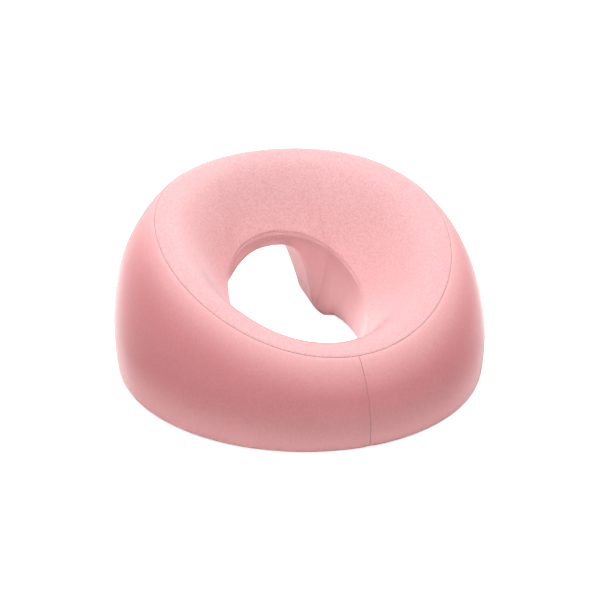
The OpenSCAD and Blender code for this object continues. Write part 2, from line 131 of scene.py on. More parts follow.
@dataclass(frozen=True)
class RingForm:
    """Outer surface of the cover: a section that changes from place to place round the ring.

    Places count stations from the front, anticlockwise: up to a foot of the arch, over the arch and back.
    """

    body_width: float = 292 * MM
    body_depth: float = 304 * MM
    front_height: float = 68.5 * MM
    side_height: float = 124 * MM
    back_height: float = 144.5 * MM
    base_inset: float = 2 * MM
    edge_roll: float = 6 * MM
    low_draw: float = 1 * MM
    high_draw: float = 4.5 * MM
    shoulder_out: float = 14 * MM
    shoulder_drop: float = 16 * MM
    rim_in_front: float = 26 * MM
    rim_in_side: float = 32.5 * MM
    rim_in_back: float = 45 * MM
    crest_rise: float = 13 * MM
    dish_rise: float = 23 * MM
    lip_roll: float = 3.5 * MM
    lip_width: float = 108 * MM
    lip_length: float = 120 * MM
    lip_shift: float = 4.5 * MM
    lip_front: float = 21.5 * MM
    lip_side: float = 54.5 * MM
    lip_back: float = 87 * MM
    lip_wall: float = 6.5 * MM
    well_width: float = 117 * MM
    well_shift: float = 41 * MM
    well_front: float = 96 * MM
    well_back: float = 84 * MM
    arch_width: float = 91 * MM
    mouth_width: float = 98 * MM
    arch_inner: float = 75.5 * MM
    arch_height: float = 75.5 * MM
    arch_power: float = 2.9
    arch_start: float = 85.5 * MM
    arch_lean: float = 0.3
    arch_flare: float = 5 * MM
    foot_radius: float = 4 * MM
    front_steps: int = 19
    arch_steps: int = 14
    foot_steps: int = 2
    rim_place: float = 4.93
    lip_place: float = 9.0
    edge_share: float = 2 / 7
    edge_gather: float = 1.4
    low_share: float = 0.09
    bulge_share: float = 0.38
    high_share: float = 0.72
    crest_share: float = 0.27
    dish_share: float = 0.53
    lip_roll_share: float = 0.91
    lip_reach: float = 0.8
    well_share: float = 0.8
    outer_weight: float = 1 / 48
    foot_gather: int = 3
    halvings: int = 30
    spline: SectionSpline = field(default_factory=SectionSpline)

    @property
    def stations(self) -> int:
        """Stations all round the ring."""
        return 2 * self.front_steps + self.arch_steps

    @property
    def base_half(self) -> float:
        """Half the width of the base."""
        return self.body_width / 2 - self.base_inset

    @property
    def mouth_half(self) -> float:
        """Half the width of the outer mouth of the arch, with its flare."""
        return self.mouth_width / 2 + self.arch_flare

    @staticmethod
    def wave(front: float, side: float, back: float, s: float) -> float:
        """Returns the value at a place whose sine is s, from the values at the front, sides and back."""
        return side + (back - front) / 2 * s + ((back + front) / 2 - side) * s * s

    @staticmethod
    def through(point: np.ndarray, before: np.ndarray, after: np.ndarray) -> np.ndarray:
        """Returns the control that brings a spline of weights 1, 4 and 1 through a point."""
        return (6 * point - before - after) / 4

    def arch_point(self, step: float, half: float, height: float) -> tuple[float, float]:
        """Right half of the outline of the arch: a rolled foot, then a full parabola.

        Args:
            step: way over the arch, from 0 at the right foot to half of arch_steps at the top.
            half: half the width of the arch there.
            height: height of the arch there.

        Returns:
            The point's x and z.
        """
        if step < self.foot_steps:
            turn = self.foot_turn(step)
            return half + self.foot_radius * (1 - math.sin(turn)), self.foot_radius * (1 - math.cos(turn))
        turn = math.pi * (step - self.foot_steps) / (self.arch_steps - 2 * self.foot_steps)
        across = max(math.cos(turn), 0.0) ** (2 / self.arch_power)
        return half * across, self.foot_radius + (height - self.foot_radius) * math.sin(turn) ** 2

    def foot_turn(self, step: float) -> float:
        """Returns how far the rolled foot of the arch has turned up at a step."""
        return math.pi / 2 * min(step / self.foot_steps, 1.0)

    def wall_point(self, angle: float, r: float, z: float) -> np.ndarray:
        """Returns a point at a distance from the middle, stretched to the depth of the body."""
        extra = (self.body_depth - self.body_width) / 2
        return np.array([r * math.cos(angle), (r + extra) * math.sin(angle), z])

    def well_point(self, angle: float, out: float = 0.0) -> np.ndarray:
        """Point on the hole in the base.

        Args:
            angle: angle round the hole.
            out: distance outside it.

        Returns:
            The point, on the floor.
        """
        length = self.well_front if angle < 0 else self.well_back
        x = (self.well_width / 2 + out) * math.cos(angle)
        y = self.well_shift + (length + out) * math.sin(angle)
        return np.array([x, y, 0.0])

    def section(self, place: float) -> "Section":
        """Section at a place round the ring.

        Args:
            place: a place from 0 to the count of stations, which wraps round.

        Returns:
            The section, mirrored on the left half.
        """
        place = place % self.stations
        left = place > self.stations / 2
        half = self.stations - place if left else place
        foot_x = self.mouth_half + self.foot_radius
        inner_foot_x = self.arch_width / 2 + self.arch_flare + self.foot_radius
        foot_outer = math.acos(foot_x / self.base_half)
        foot_inner = math.acos(inner_foot_x / (self.well_width / 2))
        if half < self.front_steps:
            t = half / self.front_steps
            outer = -math.pi / 2 + (foot_outer + math.pi / 2) * t
            gathered = t ** self.foot_gather
            lip = outer - (foot_outer - math.acos(self.lip_reach)) * gathered
            inner = outer - (foot_outer - foot_inner) * gathered
            step, over = 0.0, ease(half - self.front_steps + 1)
        else:
            step, over = half - self.front_steps, 1.0
            x = self.arch_point(step, self.mouth_half, 0.0)[0]
            outer = math.acos(x / self.base_half)
            lip = math.acos(self.lip_reach * x / foot_x)
            inner = foot_inner
        return Section(self, outer, lip, inner, step, over, left)


@dataclass
class Section:
    """One section of the ring, from the outer seam of the base over the crest to the inner seam.

    It has an angle on the outer wall, one on the lip and one on the hole in the base. The share over is 0
    where the base lies on the floor and 1 at the arch, with a blend beside its feet.
    """

    form: RingForm
    outer: float
    lip: float
    inner: float
    step: float
    over: float
    left: bool

    def __post_init__(self) -> None:
        """Works out the controls of the section."""
        f = self.form
        q = math.sin(self.outer)
        crest = f.wave(f.front_height, f.side_height, f.back_height, q)
        rim_z = crest - f.crest_rise
        rim_r = f.body_width / 2 - f.wave(f.rim_in_front, f.rim_in_side, f.rim_in_back, q)
        rim = f.wall_point(self.outer, rim_r, rim_z)
        lip_q = math.sin(self.lip)
        lip_z = f.wave(f.lip_front, f.lip_side, f.lip_back, lip_q)
        lip = np.array([f.lip_width / 2 * math.cos(self.lip), f.lip_shift + f.lip_length / 2 * lip_q, lip_z])
        dish = blend(rim, lip, f.dish_share) + UP * f.dish_rise
        top = crest + (f.shoulder_drop + crest - dish[2]) * f.outer_weight / (1 - f.outer_weight)
        over_lip = blend(rim, lip, f.lip_roll_share) + UP * f.lip_roll
        under_lip = lip - UP * f.lip_wall
        inside = blend(rim, lip, f.crest_share)
        half = f.body_width / 2
        bulge = f.through(half, half - f.low_draw, half - f.high_draw)
        well = f.well_point(self.inner)
        mouth = self.inner_mouth(0.0)
        mouth_seam = mouth + np.array([0.0, f.edge_roll, 0.0])
        self.points = np.array([
            f.wall_point(self.outer, f.base_half - f.edge_roll, 0.0),
            f.wall_point(self.outer, f.base_half, 0.0),
            f.wall_point(self.outer, half - f.low_draw, rim_z * f.low_share),
            f.wall_point(self.outer, bulge, rim_z * f.bulge_share),
            f.wall_point(self.outer, half - f.high_draw, rim_z * f.high_share),
            f.wall_point(self.outer, rim_r + f.shoulder_out, top - f.shoulder_drop),
            [rim[0], rim[1], top],
            [inside[0], inside[1], top],
            dish,
            over_lip,
            f.through(lip, over_lip, under_lip),
            under_lip,
            blend(under_lip, blend(well, self.inner_mouth(f.arch_flare), self.over), f.well_share),
            blend(well, mouth, self.over),
            blend(f.well_point(self.inner, f.edge_roll), mouth_seam, self.over),
        ])

    def inner_mouth(self, flare: float) -> np.ndarray:
        """Point of the inner mouth of the arch, which leans forward.

        Args:
            flare: distance beside the mouth.

        Returns:
            The point.
        """
        f = self.form
        x, z = f.arch_point(self.step, f.arch_width / 2 + flare, f.arch_inner)
        y = blend(f.well_point(self.inner)[1], f.arch_start, math.sin(f.foot_turn(self.step)))
        return np.array([x, y - f.arch_lean * z, z])

    def at(self, places: np.ndarray) -> np.ndarray:
        """Returns the points at places along the spline."""
        return self.form.spline.weights(places) @ self.points

    def mirrored(self, points: np.ndarray) -> np.ndarray:
        """Returns points of the right half, mirrored if the section is on the left."""
        return points * np.array([-1.0, 1.0, 1.0]) if self.left else points

    def height_place(self, z: float, low: float, high: float) -> float:
        """Place where the wall reaches a height.

        Args:
            z: the height.
            low: a place below it.
            high: a place above it.

        Returns:
            The place, by halving the way between the two.
        """
        for _ in range(self.form.halvings):
            middle = (low + high) / 2
            if self.at(np.array([middle]))[0, 2] < z:
                low = middle
            else:
                high = middle
        return (low + high) / 2

    def side(self, shares: np.ndarray) -> np.ndarray:
        """Side band, from the seam at the base to the rim.

        Args:
            shares: shares of the way up the band.

        Returns:
            The points of the outer face.
        """
        f = self.form
        floor = self.at(f.rim_place * shares ** f.edge_gather)
        if self.over == 0:
            return self.mirrored(floor)
        first = f.edge_share ** f.edge_gather
        start = f.rim_place * first
        mouth_z = f.arch_point(self.step, 0.0, f.arch_height + f.arch_flare)[1]
        if mouth_z > self.at(np.array([start]))[0, 2]:
            start = self.height_place(mouth_z, start, f.rim_place)
        mouth = self.at(np.array([start]))[0]
        x, z = f.arch_point(self.step, f.mouth_width / 2, f.arch_height)
        corner = np.array([x, mouth[1], z])
        seam = corner - np.array([0.0, f.edge_roll, 0.0])
        t = np.clip(shares / f.edge_share, 0.0, 1.0)[:, None]
        rolled = (1 - t) ** 2 * seam + 2 * t * (1 - t) * corner + t ** 2 * mouth
        climb = np.clip((shares ** f.edge_gather - first) / (1 - first), 0.0, 1.0)
        wall = self.at(blend(start, f.rim_place, climb))
        arch = np.where((shares < f.edge_share)[:, None], rolled, wall)
        return self.mirrored(blend(floor, arch, self.over))

    def top(self, shares: np.ndarray) -> np.ndarray:
        """Returns points of the top panel, from the rim to the lip."""
        return self.mirrored(self.at(blend(self.form.rim_place, self.form.lip_place, shares)))

    def well(self, shares: np.ndarray) -> np.ndarray:
        """Returns points of the lining of the hole, from the lip to the inner seam."""
        return self.mirrored(self.at(blend(self.form.lip_place, self.form.spline.end, shares)))

    def base(self, shares: np.ndarray) -> np.ndarray:
        """Points straight across the base, or along the arch.

        Args:
            shares: shares of the way from the inner to the outer seam.

        Returns:
            The points.
        """
        inner = self.well(np.array([1.0]))[0]
        outer = self.side(np.array([0.0]))[0]
        return blend(inner, outer, shares[:, None])


@dataclass(frozen=True)
class Noise:
    """A cloud of noise, whose features are about one over scale metres wide."""

    scale: float
    detail: float
    roughness: float


class Nodes:
    """Nodes of one tree."""

    def __init__(self, tree: bpy.types.NodeTree) -> None:
        """Takes up a tree.

        Args:
            tree: the tree that nodes are added to.
        """
        self.tree = tree

    def add(self, kind: str, **values: object) -> bpy.types.Node:
        """Adds a node.

        Args:
            kind: the node's type.
            values: its properties.

        Returns:
            The node.
        """
        node = self.tree.nodes.new(kind)
        for key, value in values.items():
            setattr(node, key, value)
        return node

    def join(self, source: Socket, target: Socket) -> None:
        """Links an output to an input."""
        self.tree.links.new(source, target)

    def math(self, operation: str, *terms: object) -> Socket:
        """Adds a sum on sockets and numbers.

        Args:
            operation: what is worked out.
            terms: sockets and numbers, in order.

        Returns:
            The result.
        """
        node = self.add("ShaderNodeMath", operation=operation)
        for socket, term in zip(node.inputs, terms):
            if isinstance(term, Socket):
                self.join(term, socket)
            else:
                socket.default_value = term
        return node.outputs[0]


class FinishNodes(Nodes):
    """Nodes of a material, on one principled shader and the piece's own coordinates."""

    def __init__(self, name: str) -> None:
        """Starts a material.

        Args:
            name: name of the material.
        """
        self.material = bpy.data.materials.new(name)
        self.material.use_nodes = True
        super().__init__(self.material.node_tree)
        self.shader = self.tree.nodes["Principled BSDF"]
        self.coords = self.add("ShaderNodeTexCoord").outputs["Object"]

    def texture(self, node: bpy.types.Node, output: str, **inputs: float) -> Socket:
        """Lays a texture on the piece.

        Args:
            node: the texture.
            output: name of the output to use.
            inputs: values of its inputs.

        Returns:
            The output.
        """
        for key, value in inputs.items():
            node.inputs[key].default_value = value
        self.join(self.coords, node.inputs["Vector"])
        return node.outputs[output]

    def noise(self, cloud: Noise) -> Socket:
        """Returns a cloud of noise."""
        node = self.add("ShaderNodeTexNoise")
        return self.texture(node, "Fac", Scale=cloud.scale, Detail=cloud.detail, Roughness=cloud.roughness)

    def voronoi(self, scale: float) -> Socket:
        """Returns the distance to the nearest of scattered cells."""
        return self.texture(self.add("ShaderNodeTexVoronoi"), "Distance", Scale=scale)

    def bands(self, scale: float, distortion: float) -> Socket:
        """Returns diagonal bands."""
        node = self.add("ShaderNodeTexWave", wave_type="BANDS", bands_direction="DIAGONAL")
        return self.texture(node, "Fac", Scale=scale, Distortion=distortion)

    def rings(self, scale: float, distortion: float) -> Socket:
        """Returns rings about the upright axis."""
        node = self.add("ShaderNodeTexWave", wave_type="RINGS", rings_direction="Z")
        return self.texture(node, "Fac", Scale=scale, Distortion=distortion)

    def height(self) -> Socket:
        """Returns the height over the base."""
        node = self.add("ShaderNodeSeparateXYZ")
        self.join(self.coords, node.inputs["Vector"])
        return node.outputs["Z"]

    def attribute(self, name: str) -> Socket:
        """Returns a value stored on the mesh."""
        return self.add("ShaderNodeAttribute", attribute_name=name).outputs["Fac"]

    def total(self, *terms: tuple[Socket, float]) -> Socket:
        """Sum of values by their shares.

        Args:
            terms: pairs of a value and its share.

        Returns:
            The sum.
        """
        result = self.math("MULTIPLY", *terms[0])
        for value, share in terms[1:]:
            result = self.math("MULTIPLY_ADD", value, share, result)
        return result

    def step(self, value: Socket, span: Span) -> Socket:
        """Smooth step of a value.

        Args:
            value: the value.
            span: where the step is 0, and where it is 1.

        Returns:
            The step.
        """
        node = self.add("ShaderNodeMapRange", interpolation_type="SMOOTHSTEP")
        self.join(value, node.inputs["Value"])
        node.inputs["From Min"].default_value, node.inputs["From Max"].default_value = span
        return node.outputs["Result"]

    def mix(self, share: Socket, a: Socket, b: Socket) -> Socket:
        """Mixes two colours.

        Args:
            share: share of the second colour.
            a: the first colour.
            b: the second colour.

        Returns:
            The mixed colour.
        """
        node = self.add("ShaderNodeMix", data_type="RGBA")
        inputs = {socket.identifier: socket for socket in node.inputs}
        outputs = {socket.identifier: socket for socket in node.outputs}
        for socket, name in ((share, "Factor_Float"), (a, "A_Color"), (b, "B_Color")):
            self.join(socket, inputs[name])
        return outputs["Result_Color"]

    def ramp(self, value: Socket, tones: Span, shade: Colour, light: Colour) -> Socket:
        """Colours a value.

        Args:
            value: the value.
            tones: values of the darker and of the lighter colour.
            shade: the darker colour.
            light: the lighter colour.

        Returns:
            The colour.
        """
        node = self.add("ShaderNodeValToRGB")
        for element, tone, colour in zip(node.color_ramp.elements, tones, (shade, light)):
            element.position = tone
            element.color = (*colour, 1.0)
        self.join(value, node.inputs["Fac"])
        return node.outputs["Color"]

    def rough(self, value: Socket, span: Span) -> None:
        """Spreads a value from 0 to 1 over a span of roughness."""
        low, high = span
        self.join(self.math("MULTIPLY_ADD", value, high - low, low), self.shader.inputs["Roughness"])

    def bump(self, height: Socket, strength: float, depth: float) -> None:
        """Gives the surface a relief.

        Args:
            height: the relief, from 0 to 1.
            strength: how strong it is.
            depth: how deep it is.
        """
        node = self.add("ShaderNodeBump")
        node.inputs["Strength"].default_value = strength
        node.inputs["Distance"].default_value = depth
        self.join(height, node.inputs["Height"])
        self.join(node.outputs["Normal"], self.shader.inputs["Normal"])

    def put(self, name: str, value: object) -> None:
        """Sets an input of the shader that is the same all over."""
        self.shader.inputs[name].default_value = value


@dataclass(frozen=True)
class Finish:
    """A finish from a darker to a lighter tone of one colour, with its roughness and its relief."""

    name: str
    shade: Colour
    light: Colour
    tones: Span = (0.2, 0.8)
    roughness: Span = (0.5, 0.9)
    relief: float = 0.5
    relief_depth: float = 0.1 * MM

    def material(self) -> bpy.types.Material:
        """Returns the node material."""
        nodes = FinishNodes(self.name)
        self.lay(nodes)
        return nodes.material

    def lay(self, nodes: FinishNodes) -> None:
        """Lays the finish on the nodes of its material."""
        raise NotImplementedError(self.name)

    def toned(self, nodes: FinishNodes, tone: Socket) -> Socket:
        """Returns the colour of a tone."""
        return nodes.ramp(tone, self.tones, self.shade, self.light)

    def surface(self, nodes: FinishNodes, colour: Socket, rough: Socket, height: Socket) -> None:
        """Gives the shader its colour, roughness and relief.

        Args:
            nodes: the nodes of the material.
            colour: the colour.
            rough: what the roughness follows.
            height: what the relief follows.
        """
        nodes.join(colour, nodes.shader.inputs["Base Color"])
        nodes.rough(rough, self.roughness)
        nodes.bump(height, self.relief, self.relief_depth)


@dataclass(frozen=True)
class KnitFinish(Finish):
    """Fine brushed knit: mottled, with a grain of loops, and with painted light: other colours where it faces
    up, and a painted floor bounce that pales it near the base.
    """

    # Colours of painted light, taken where the cloth faces up and in the painted floor bounce near the base.
    painted_lit_shade: Colour = field(kw_only=True)
    painted_lit_light: Colour = field(kw_only=True)
    tones: Span = (0.3, 0.68)
    roughness: Span = (0.82, 0.98)
    relief: float = 0.3
    relief_depth: float = 0.4 * MM
    # Facing values over which the painted light from above comes in.
    turn: Span = (0.36, 0.86)
    # Heights over which the painted floor bounce comes in, full at the base, and its share.
    painted_bounce_band: Span = (45 * MM, 2 * MM)
    painted_bounce_share: float = 0.9
    grain: Noise = Noise(2200.0, 3.0, 0.6)
    mottle: Noise = Noise(650.0, 4.0, 0.65)
    drift: Noise = Noise(14.0, 2.0, 0.5)
    loops: float = 1760.0
    grain_share: float = 0.6
    loop_share: float = 0.5
    weave_tone: float = 0.4
    mottle_tone: float = 0.5
    drift_tone: float = 0.1
    mottle_relief: float = 0.5
    sheen: float = 1.0
    sheen_roughness: float = 0.28
    sheen_tint: Colour = (1.0, 0.96, 0.96)
    gloss: float = 0.15

    def lay(self, nodes: FinishNodes) -> None:
        """Lays the knit on the nodes of its material.

        Args:
            nodes: the nodes.
        """
        loops, fine = nodes.voronoi(self.loops), nodes.noise(self.grain)
        mottle, drift = nodes.noise(self.mottle), nodes.noise(self.drift)
        weave = nodes.total((loops, self.loop_share), (fine, self.grain_share))
        tone = nodes.total((weave, self.weave_tone), (mottle, self.mottle_tone), (drift, self.drift_tone))
        # Painted light: the colours of up-facing cloth and of the painted floor bounce.
        top = nodes.ramp(tone, self.tones, self.painted_lit_shade, self.painted_lit_light)
        painted_light_mask = nodes.step(nodes.attribute(PAINTED_LIGHT_FACING), self.turn)
        painted_bounce_band = nodes.math("MULTIPLY", nodes.step(nodes.height(), self.painted_bounce_band), self.painted_bounce_share)
        # Mixes in the painted light where the cloth faces up or lies near the base.
        colour = nodes.mix(nodes.math("MAXIMUM", painted_light_mask, painted_bounce_band), self.toned(nodes, tone), top)
        self.surface(nodes, colour, mottle, nodes.math("MULTIPLY_ADD", mottle, self.mottle_relief, weave))
        nodes.put("Sheen Weight", self.sheen)
        nodes.put("Sheen Roughness", self.sheen_roughness)
        nodes.put("Sheen Tint", (*self.sheen_tint, 1.0))
        nodes.put("Specular IOR Level", self.gloss)


@dataclass(frozen=True)
class ThreadFinish(Finish):
    """Twisted sewing thread."""

    roughness: Span = (0.55, 0.8)
    twist: float = 2600.0
    wobble: float = 2.0
    fuzz: Noise = Noise(2600.0, 2.0, 0.6)
    twist_share: float = 0.6
    fuzz_share: float = 0.4
    sheen: float = 0.1

    def lay(self, nodes: FinishNodes) -> None:
        """Lays the thread on the nodes of its material.

        Args:
            nodes: the nodes.
        """
        ply, fuzz = nodes.bands(self.twist, self.wobble), nodes.noise(self.fuzz)
        tone = nodes.total((fuzz, self.fuzz_share), (ply, self.twist_share))
        self.surface(nodes, self.toned(nodes, tone), fuzz, ply)
        nodes.put("Sheen Weight", self.sheen)


@dataclass(frozen=True)
class FoamFinish(Finish):
    """Open foam with fine cells."""

    roughness: Span = (0.85, 0.95)
    relief: float = 0.6
    relief_depth: float = 0.5 * MM
    cell: float = 600.0
    cloud: Noise = Noise(40.0, 3.0, 0.5)
    cell_share: float = 0.6
    cloud_share: float = 0.6

    def lay(self, nodes: FinishNodes) -> None:
        """Lays the foam on the nodes of its material.

        Args:
            nodes: the nodes.
        """
        cells, cloud = nodes.voronoi(self.cell), nodes.noise(self.cloud)
        tone = nodes.total((cells, self.cell_share), (cloud, self.cloud_share))
        self.surface(nodes, self.toned(nodes, tone), cells, cells)


@dataclass(frozen=True)
class TapeFinish(Finish):
    """Woven zip tape, whose ribs follow the curve of the zip."""

    tones: Span = (0.2, 0.9)
    roughness: Span = (0.7, 0.9)
    relief_depth: float = 0.15 * MM
    ribs: float = 420.0
    wobble: float = 0.3
    fuzz: Noise = Noise(1400.0, 2.0, 0.6)
    rib_share: float = 0.55
    fuzz_share: float = 0.5

    def lay(self, nodes: FinishNodes) -> None:
        """Lays the tape on the nodes of its material.

        Args:
            nodes: the nodes.
        """
        rib, fuzz = nodes.rings(self.ribs, self.wobble), nodes.noise(self.fuzz)
        tone = nodes.total((fuzz, self.fuzz_share), (rib, self.rib_share))
        self.surface(nodes, self.toned(nodes, tone), fuzz, tone)


@dataclass(frozen=True)
class CoilFinish(Finish):
    """Dyed nylon monofilament."""

    tones: Span = (0.3, 0.7)
    roughness: Span = (0.35, 0.5)
    relief: float = 0.1
    relief_depth: float = 0.05 * MM
    cloud: Noise = Noise(300.0, 2.0, 0.5)

    def lay(self, nodes: FinishNodes) -> None:
        """Lays the nylon on the nodes of its material."""
        cloud = nodes.noise(self.cloud)
        self.surface(nodes, self.toned(nodes, cloud), cloud, cloud)


@dataclass(frozen=True)
class MetalFinish(Finish):
    """Plated die-cast metal with fine tumbling marks."""

    tones: Span = (0.3, 0.7)
    roughness: Span = (0.28, 0.48)
    relief: float = 0.12
    relief_depth: float = 0.03 * MM
    marks: Noise = Noise(1800.0, 4.0, 0.7)
    cloud: Noise = Noise(250.0, 2.0, 0.5)

    def lay(self, nodes: FinishNodes) -> None:
        """Lays the metal on the nodes of its material.

        Args:
            nodes: the nodes.
        """
        marks = nodes.noise(self.marks)
        self.surface(nodes, self.toned(nodes, nodes.noise(self.cloud)), marks, marks)
        nodes.put("Metallic", 1.0)


@dataclass(frozen=True)
class Finishes:
    """Materials of the whole cushion."""

    cover: bpy.types.Material
    top: bpy.types.Material
    lining: bpy.types.Material
    thread: bpy.types.Material
    lip_thread: bpy.types.Material
    foam: bpy.types.Material
    tape: bpy.types.Material
    coil: bpy.types.Material
    metal: bpy.types.Material

    @classmethod
    def make(cls) -> "Finishes":
        """Makes the finishes in the colours of the cushion, each from its darker to its lighter tone.

        Returns:
            The materials.
        """
        # The cover's painted light makes up-facing cloth and the cloth near the base paler.
        cover = KnitFinish("cover_knit", (0.68, 0.245, 0.26), (0.82, 0.315, 0.33),
                           painted_lit_shade=(0.86, 0.41, 0.42), painted_lit_light=(1.0, 0.55, 0.56))
        # On the top panel the painted light is darker where it faces straight up and paler on the slopes.
        top = KnitFinish("top_knit", (0.80, 0.42, 0.43), (1.0, 0.62, 0.63), tones=(0.38, 0.6),
                         painted_lit_shade=(0.77, 0.37, 0.38), painted_lit_light=(0.97, 0.54, 0.55), turn=(0.6, 1.0))
        shade, light = (0.82, 0.50, 0.51), (0.94, 0.62, 0.63)
        lining = KnitFinish("lining_knit", shade, light, painted_lit_shade=shade, painted_lit_light=light, sheen=0.4)
        return cls(
            cover=cover.material(),
            top=top.material(),
            lining=lining.material(),
            thread=ThreadFinish("sewing_thread", (0.43, 0.21, 0.22), (0.63, 0.33, 0.34)).material(),
            # The lip thread's pale colour is a painted highlight of the light the lip stitches catch.
            lip_thread=ThreadFinish("lip_thread", (0.86, 0.52, 0.53), (0.97, 0.70, 0.71)).material(),
            foam=FoamFinish("open_foam", (0.72, 0.66, 0.50), (0.88, 0.83, 0.68)).material(),
            tape=TapeFinish("woven_tape", (0.52, 0.19, 0.22), (0.72, 0.32, 0.35)).material(),
            coil=CoilFinish("nylon_coil", (0.50, 0.16, 0.20), (0.62, 0.24, 0.27)).material(),
            metal=MetalFinish("plated_metal", (0.52, 0.53, 0.55), (0.72, 0.73, 0.75)).material(),
        )


@dataclass(frozen=True)
class Grid:
    """Points of a skin, as columns round the ring by rows of the section."""

    points: np.ndarray
    closed: bool

    def normals(self) -> np.ndarray:
        """Returns the outward normals at the points."""
        along = np.gradient(self.points, axis=1)
        return unit(np.cross(unit(ahead(self.points, self.closed)), unit(along)))

    def way_in(self, last: bool, across: bool) -> np.ndarray:
        """Distance of each point from one edge, along its row or column.

        Args:
            last: from the last edge instead of the first.
            across: from an end of the columns' order, and not from an edge of the section.

        Returns:
            The distances.
        """
        axis = 0 if across else 1
        p = np.flip(self.points, axis=axis) if last else self.points
        steps = np.linalg.norm(np.diff(p, axis=axis), axis=-1)
        pad = [(0, 0), (0, 0)]
        pad[axis] = (1, 0)
        ways = np.pad(np.cumsum(steps, axis=axis), pad)
        return np.flip(ways, axis=axis) if last else ways

    def sewn(self, depth: float, width: float, gap: float, across: bool = False) -> "Grid":
        """Grid drawn down and apart along its seams.

        Args:
            depth: how deep the edge lies at a seam.
            width: how far the dip reaches from a seam.
            gap: half the space between the two edges at a seam.
            across: treat the first and last column as seams too.

        Returns:
            The drawn grid.
        """
        points, normals = self.points.copy(), self.normals()
        edges = [(False, False), (True, False)] + ([(False, True), (True, True)] if across else [])
        dip = np.zeros(points.shape[:2])
        for last, sideways in edges:
            near = np.exp(-(self.way_in(last, sideways) / width) ** 2)
            inwards = np.gradient(self.points, axis=0 if sideways else 1)
            points += unit(inwards) * (near * (-gap if last else gap))[..., None]
            dip = np.maximum(dip, near * depth)
        return Grid(points - normals * dip[..., None], self.closed)

    def skin(self, name: str) -> bpy.types.Object:
        """Returns the skin as an object, one face thick."""
        return finished(woven(self.points, self.closed, False), name)


def ahead(points: np.ndarray, closed: bool) -> np.ndarray:
    """Way from point to point along the first axis.

    Args:
        points: the points.
        closed: whether the last point joins the first.

    Returns:
        The way at each point.
    """
    if closed:
        return np.roll(points, -1, axis=0) - np.roll(points, 1, axis=0)
    return np.gradient(points, axis=0)


def woven(points: np.ndarray, ring: bool, loop: bool) -> bmesh.types.BMesh:
    """Lays a net of faces over points.

    Args:
        points: columns of rows of points.
        ring: whether the last column joins the first.
        loop: whether the last row joins the first.

    Returns:
        The net, whose faces point out where columns run anticlockwise and rows run up.
    """
    columns, rows = points.shape[:2]
    across = columns if ring else columns - 1
    along = rows if loop else rows - 1
    half = 0.5
    bm = bmesh.new()
    bmesh.ops.create_grid(bm, x_segments=across, y_segments=along, size=half)
    for vertex in bm.verts:
        column = round((vertex.co.x + half) * across) % columns
        row = round((vertex.co.y + half) * along) % rows
        vertex.co = points[column, row]
    bmesh.ops.remove_doubles(bm, verts=bm.verts, dist=MERGE)
    return bm


def tube(path: np.ndarray, across: np.ndarray, out: np.ndarray, radius: float, sides: int,
         closed: bool) -> bmesh.types.BMesh:
    """Draws a round tube along a path.

    Args:
        path: points that the tube follows.
        across: the way across it at each point.
        out: the other way across it.
        radius: half its thickness.
        sides: faces round it.
        closed: whether it joins itself.

    Returns:
        The tube, with its ends filled.
    """
    turns = np.arange(sides) * 2 * math.pi / sides
    rim = np.cos(turns)[None, :, None] * across[:, None] + np.sin(turns)[None, :, None] * out[:, None]
    bm = woven(path[:, None] + rim * radius, closed, True)
    if not closed:
        bmesh.ops.holes_fill(bm, edges=[e for e in bm.edges if e.is_boundary], sides=sides)
    bmesh.ops.recalc_face_normals(bm, faces=bm.faces)
    return bm


def placed(name: str, data: bpy.types.ID) -> bpy.types.Object:
    """Puts a new object in the scene.

    Args:
        name: its name.
        data: its mesh, lamp or camera.

    Returns:
        The object, at the origin.
    """
    thing = bpy.data.objects.new(name, data)
    bpy.context.scene.collection.objects.link(thing)
    return thing


def finished(bm: bmesh.types.BMesh, name: str) -> bpy.types.Object:
    """Makes an object of a bmesh, with smooth faces.

    Args:
        bm: the shape, which is used up.
        name: name of the piece.

    Returns:
        The object, at the origin.
    """
    mesh = bpy.data.meshes.new(name)
    for face in bm.faces:
        face.smooth = True
    bm.to_mesh(mesh)
    bm.free()
    return placed(name, mesh)


def dress(piece: bpy.types.Object, material: bpy.types.Material, node: str) -> bpy.types.Object:
    """Gives a piece its finish and its body, and hides the node that it stands for.

    Args:
        piece: the piece.
        material: its finish.
        node: name of the node that it replaces.

    Returns:
        The piece.
    """
    piece.data.materials.append(material)
    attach(piece, BODY)
    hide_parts(node)
    log.info("%s: %d vertices on %s", piece.name, len(piece.data.vertices), BODY)
    return piece


def store_painted_light_facing(piece: bpy.types.Object) -> None:
    """Stores on a skin how far each point faces up, which the knit finish uses to paint light where the cloth
    faces up.
    """
    layer = piece.data.attributes.new(PAINTED_LIGHT_FACING, "FLOAT", "POINT")
    layer.data.foreach_set("value", [vertex.normal.z for vertex in piece.data.vertices])


